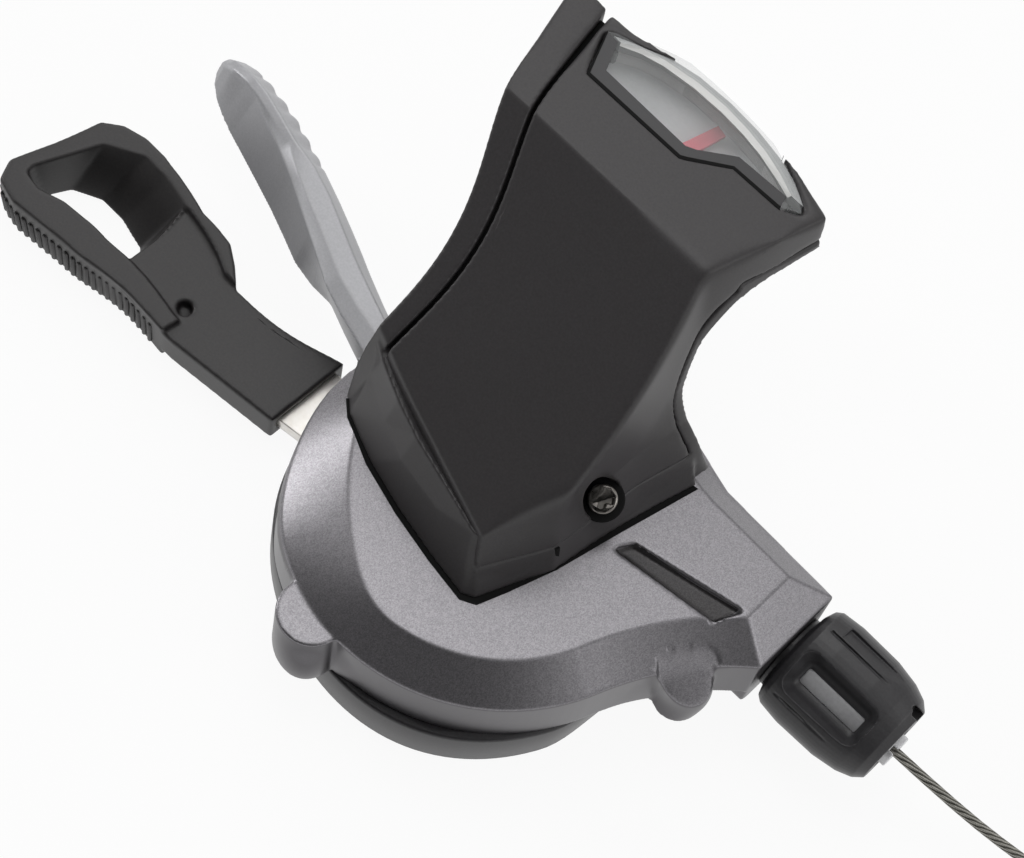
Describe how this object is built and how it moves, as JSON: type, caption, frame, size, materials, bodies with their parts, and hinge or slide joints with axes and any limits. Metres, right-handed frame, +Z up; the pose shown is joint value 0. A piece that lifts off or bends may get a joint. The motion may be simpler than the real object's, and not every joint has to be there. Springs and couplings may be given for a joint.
{
  "type": "trigger gear shifter",
  "caption": "Left-hand handlebar gear shifter for a front derailleur, with a thumb lever, a release lever, a needle gear display, a cable adjuster and a coiled inner wire.",
  "frame": {"origin": "centre of the handlebar clamp's bore", "axes": "+X along the handlebar from the rider's left to the right, +Y forward, +Z up along the levers' axle"},
  "size_m": [0.1636, 0.0788, 0.0467],
  "materials": {
    "grey_paint": "metallic flake paint",
    "dark_plastic": "satin",
    "black_plastic": "satin",
    "grip_plastic": "matte",
    "steel": "satin",
    "wire_steel": "stranded",
    "black_alloy": "black anodised",
    "grey_alloy": "satin",
    "silver_alloy": "plated",
    "clear_lens": "clear",
    "dial_grey": "matte",
    "needle_red": "matte",
    "tie_plastic": "satin"
  },
  "bodies": {
    "housing": {"upper_cover": "grey_paint", "lower_cover": "dark_plastic", "cover_screws": "steel", "base_plate": "steel", "main_axle": "steel", "axle_nut": "steel", "clamp_band": "black_alloy", "clamp_bolt": "steel", "clamp_nut": "steel", "clamp_screws": "steel", "stop_pawl_pin": "steel", "release_pin": "steel", "inner_wire": "wire_steel", "cable_guide": "dark_plastic", "lever_spring": "steel", "drum_spring": "steel", "release_spring": "steel", "display_rear_housing": "black_plastic", "display_front_cover": "black_plastic", "display_screw": "steel", "window_lens": "clear_lens", "dial_plate": "dial_grey", "needle_shaft": "steel", "wire_tube": "wire_steel", "wire_coil": "wire_steel", "coil_tie": "tie_plastic"},
    "main_lever": {"main_lever_plate": "steel", "main_lever_grip": "grip_plastic", "take_up_pawl_pin": "steel"},
    "take_up_pawl": {"take_up_pawl": "steel"},
    "cable_drum": {"cable_drum": "dark_plastic", "ratchet_plate": "steel", "cable_nipple": "steel", "wound_wire": "wire_steel", "crank_pin": "steel"},
    "indicator_link": {"indicator_link": "steel"},
    "needle": {"needle": "needle_red"},
    "stop_pawl": {"stop_pawl": "steel"},
    "release_lever": {"release_lever": "grey_alloy"},
    "adjuster_barrel": {"adjuster_barrel": "black_plastic"},
    "adjuster_bolt": {"adjuster_bolt": "silver_alloy"}
  },
  "joints": [
    {"name": "main_lever_swing", "type": "hinge", "parent": "housing", "child": "main_lever", "pos_m": [0.012, -0.03, -0.0225], "axis": [0, 0, -1], "range_deg": [0, 42], "stiffness_Nm_per_rad": 0.2, "springref_deg": -17.19},
    {"name": "take_up_lift", "type": "hinge", "parent": "main_lever", "child": "take_up_pawl", "pos_m": [0.00283, -0.0436, -0.0206], "axis": [0, 0, -1], "range_deg": [0, 12], "stiffness_Nm_per_rad": 0.0001, "springref_deg": -57.3},
    {"name": "drum_turn", "type": "hinge", "parent": "housing", "child": "cable_drum", "pos_m": [0.012, -0.03, -0.0175], "axis": [0, 0, -1], "range_deg": [-2, 44]},
    {"name": "link_turn", "type": "hinge", "parent": "cable_drum", "child": "indicator_link", "pos_m": [0.0073, -0.03171, -0.004], "axis": [0, 0, -1], "range_deg": [-44, 2]},
    {"name": "needle_turn", "type": "hinge", "parent": "housing", "child": "needle", "pos_m": [0.002, -0.006, 0.0173], "axis": [0, 0, -1], "range_deg": [-2, 44]},
    {"name": "stop_pawl_lift", "type": "hinge", "parent": "housing", "child": "stop_pawl", "pos_m": [0.02684, -0.03599, -0.0206], "axis": [0, 0, 1], "range_deg": [0, 10], "stiffness_Nm_per_rad": 0.0001, "springref_deg": -57.3},
    {"name": "release_swing", "type": "hinge", "parent": "housing", "child": "release_lever", "pos_m": [0, -0.03, -0.013], "axis": [0, 0, 1], "range_deg": [-10, 10], "stiffness_Nm_per_rad": 0.2},
    {"name": "adjuster_turn", "type": "hinge", "parent": "housing", "child": "adjuster_barrel", "pos_m": [0.052, -0.017, -0.0175], "axis": [1, 0, 0], "range_deg": [-813, 813]},
    {"name": "adjuster_slide", "type": "slide", "parent": "housing", "child": "adjuster_bolt", "axis": [1, 0, 0], "range_m": [-0.002, 0.002]}
  ],
  "couplings": [
    {"joint": "drum_turn", "follows": "main_lever_swing", "ratio": 1},
    {"joint": "link_turn", "follows": "main_lever_swing", "ratio": -1},
    {"joint": "needle_turn", "follows": "main_lever_swing", "ratio": 1},
    {"joint": "adjuster_turn", "follows": "adjuster_slide", "rad_per_m": 6283.2}
  ]
}
